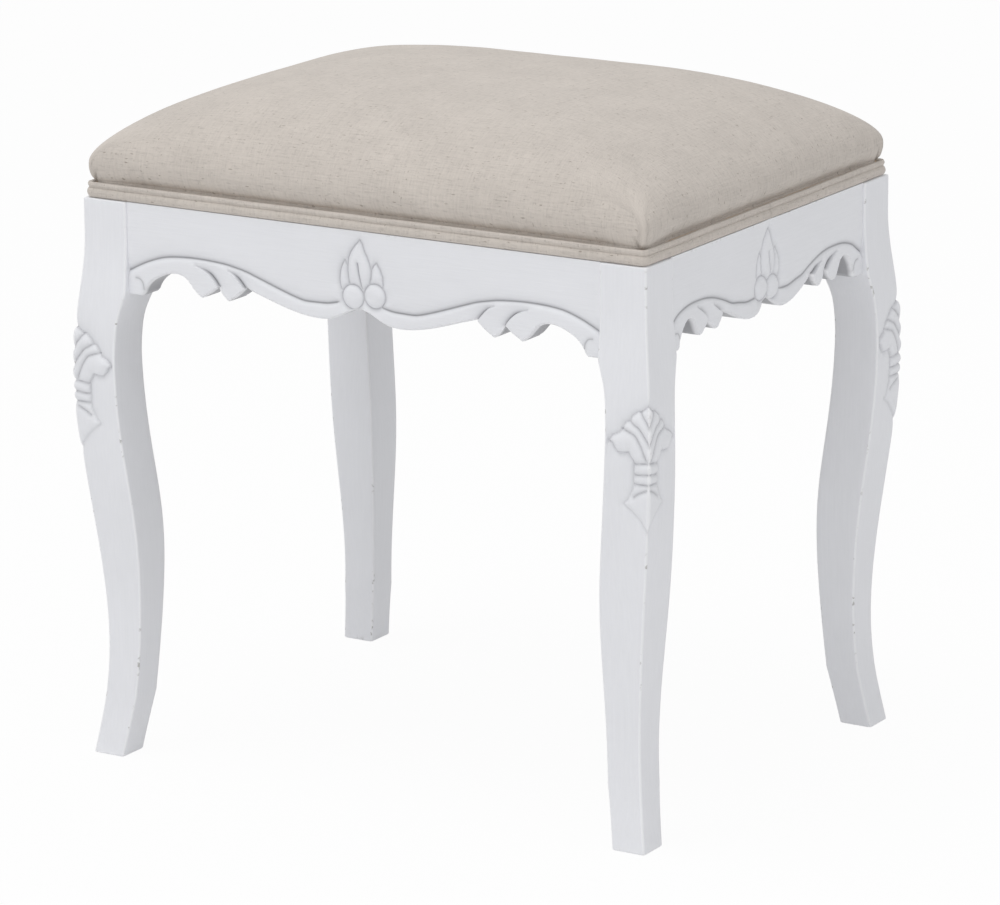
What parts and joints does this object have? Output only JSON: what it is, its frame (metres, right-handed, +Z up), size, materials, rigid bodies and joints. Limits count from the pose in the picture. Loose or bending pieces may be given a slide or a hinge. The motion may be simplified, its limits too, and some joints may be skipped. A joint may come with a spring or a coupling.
{
  "type": "upholstered dressing stool",
  "caption": "Backless dressing stool with a domed linen seat pad on a white painted wooden frame with cabriole legs and carved, scalloped aprons.",
  "frame": {"origin": "on the floor, under the middle of the seat", "axes": "+Z up, +X along the long side of the seat to the right seen from the front, -Y towards the long front side"},
  "size_m": [0.4596, 0.352, 0.4809],
  "materials": {
    "white_paint": "satin",
    "bare_wood": "matte",
    "plywood": "matte",
    "linen": "matte",
    "foam": "matte",
    "wadding": "matte",
    "cambric": "matte",
    "zinc_steel": "satin"
  },
  "bodies": {
    "root": {"leg_front_left": "white_paint", "leg_front_right": "white_paint", "leg_back_left": "white_paint", "leg_back_right": "white_paint", "apron_front": "white_paint", "apron_back": "white_paint", "apron_left": "white_paint", "apron_right": "white_paint", "dowels_front": "bare_wood", "dowels_back": "bare_wood", "dowels_left": "bare_wood", "dowels_right": "bare_wood", "corner_block_front_left": "bare_wood", "corner_block_front_right": "bare_wood", "corner_block_back_left": "bare_wood", "corner_block_back_right": "bare_wood", "corner_block_screws": "zinc_steel", "seat_screws": "zinc_steel", "seat_board": "plywood", "foam_pad": "foam", "wadding": "wadding", "linen_cover": "linen", "trim_band": "linen", "dust_cover": "cambric", "staples": "zinc_steel"}
  },
  "joints": []
}
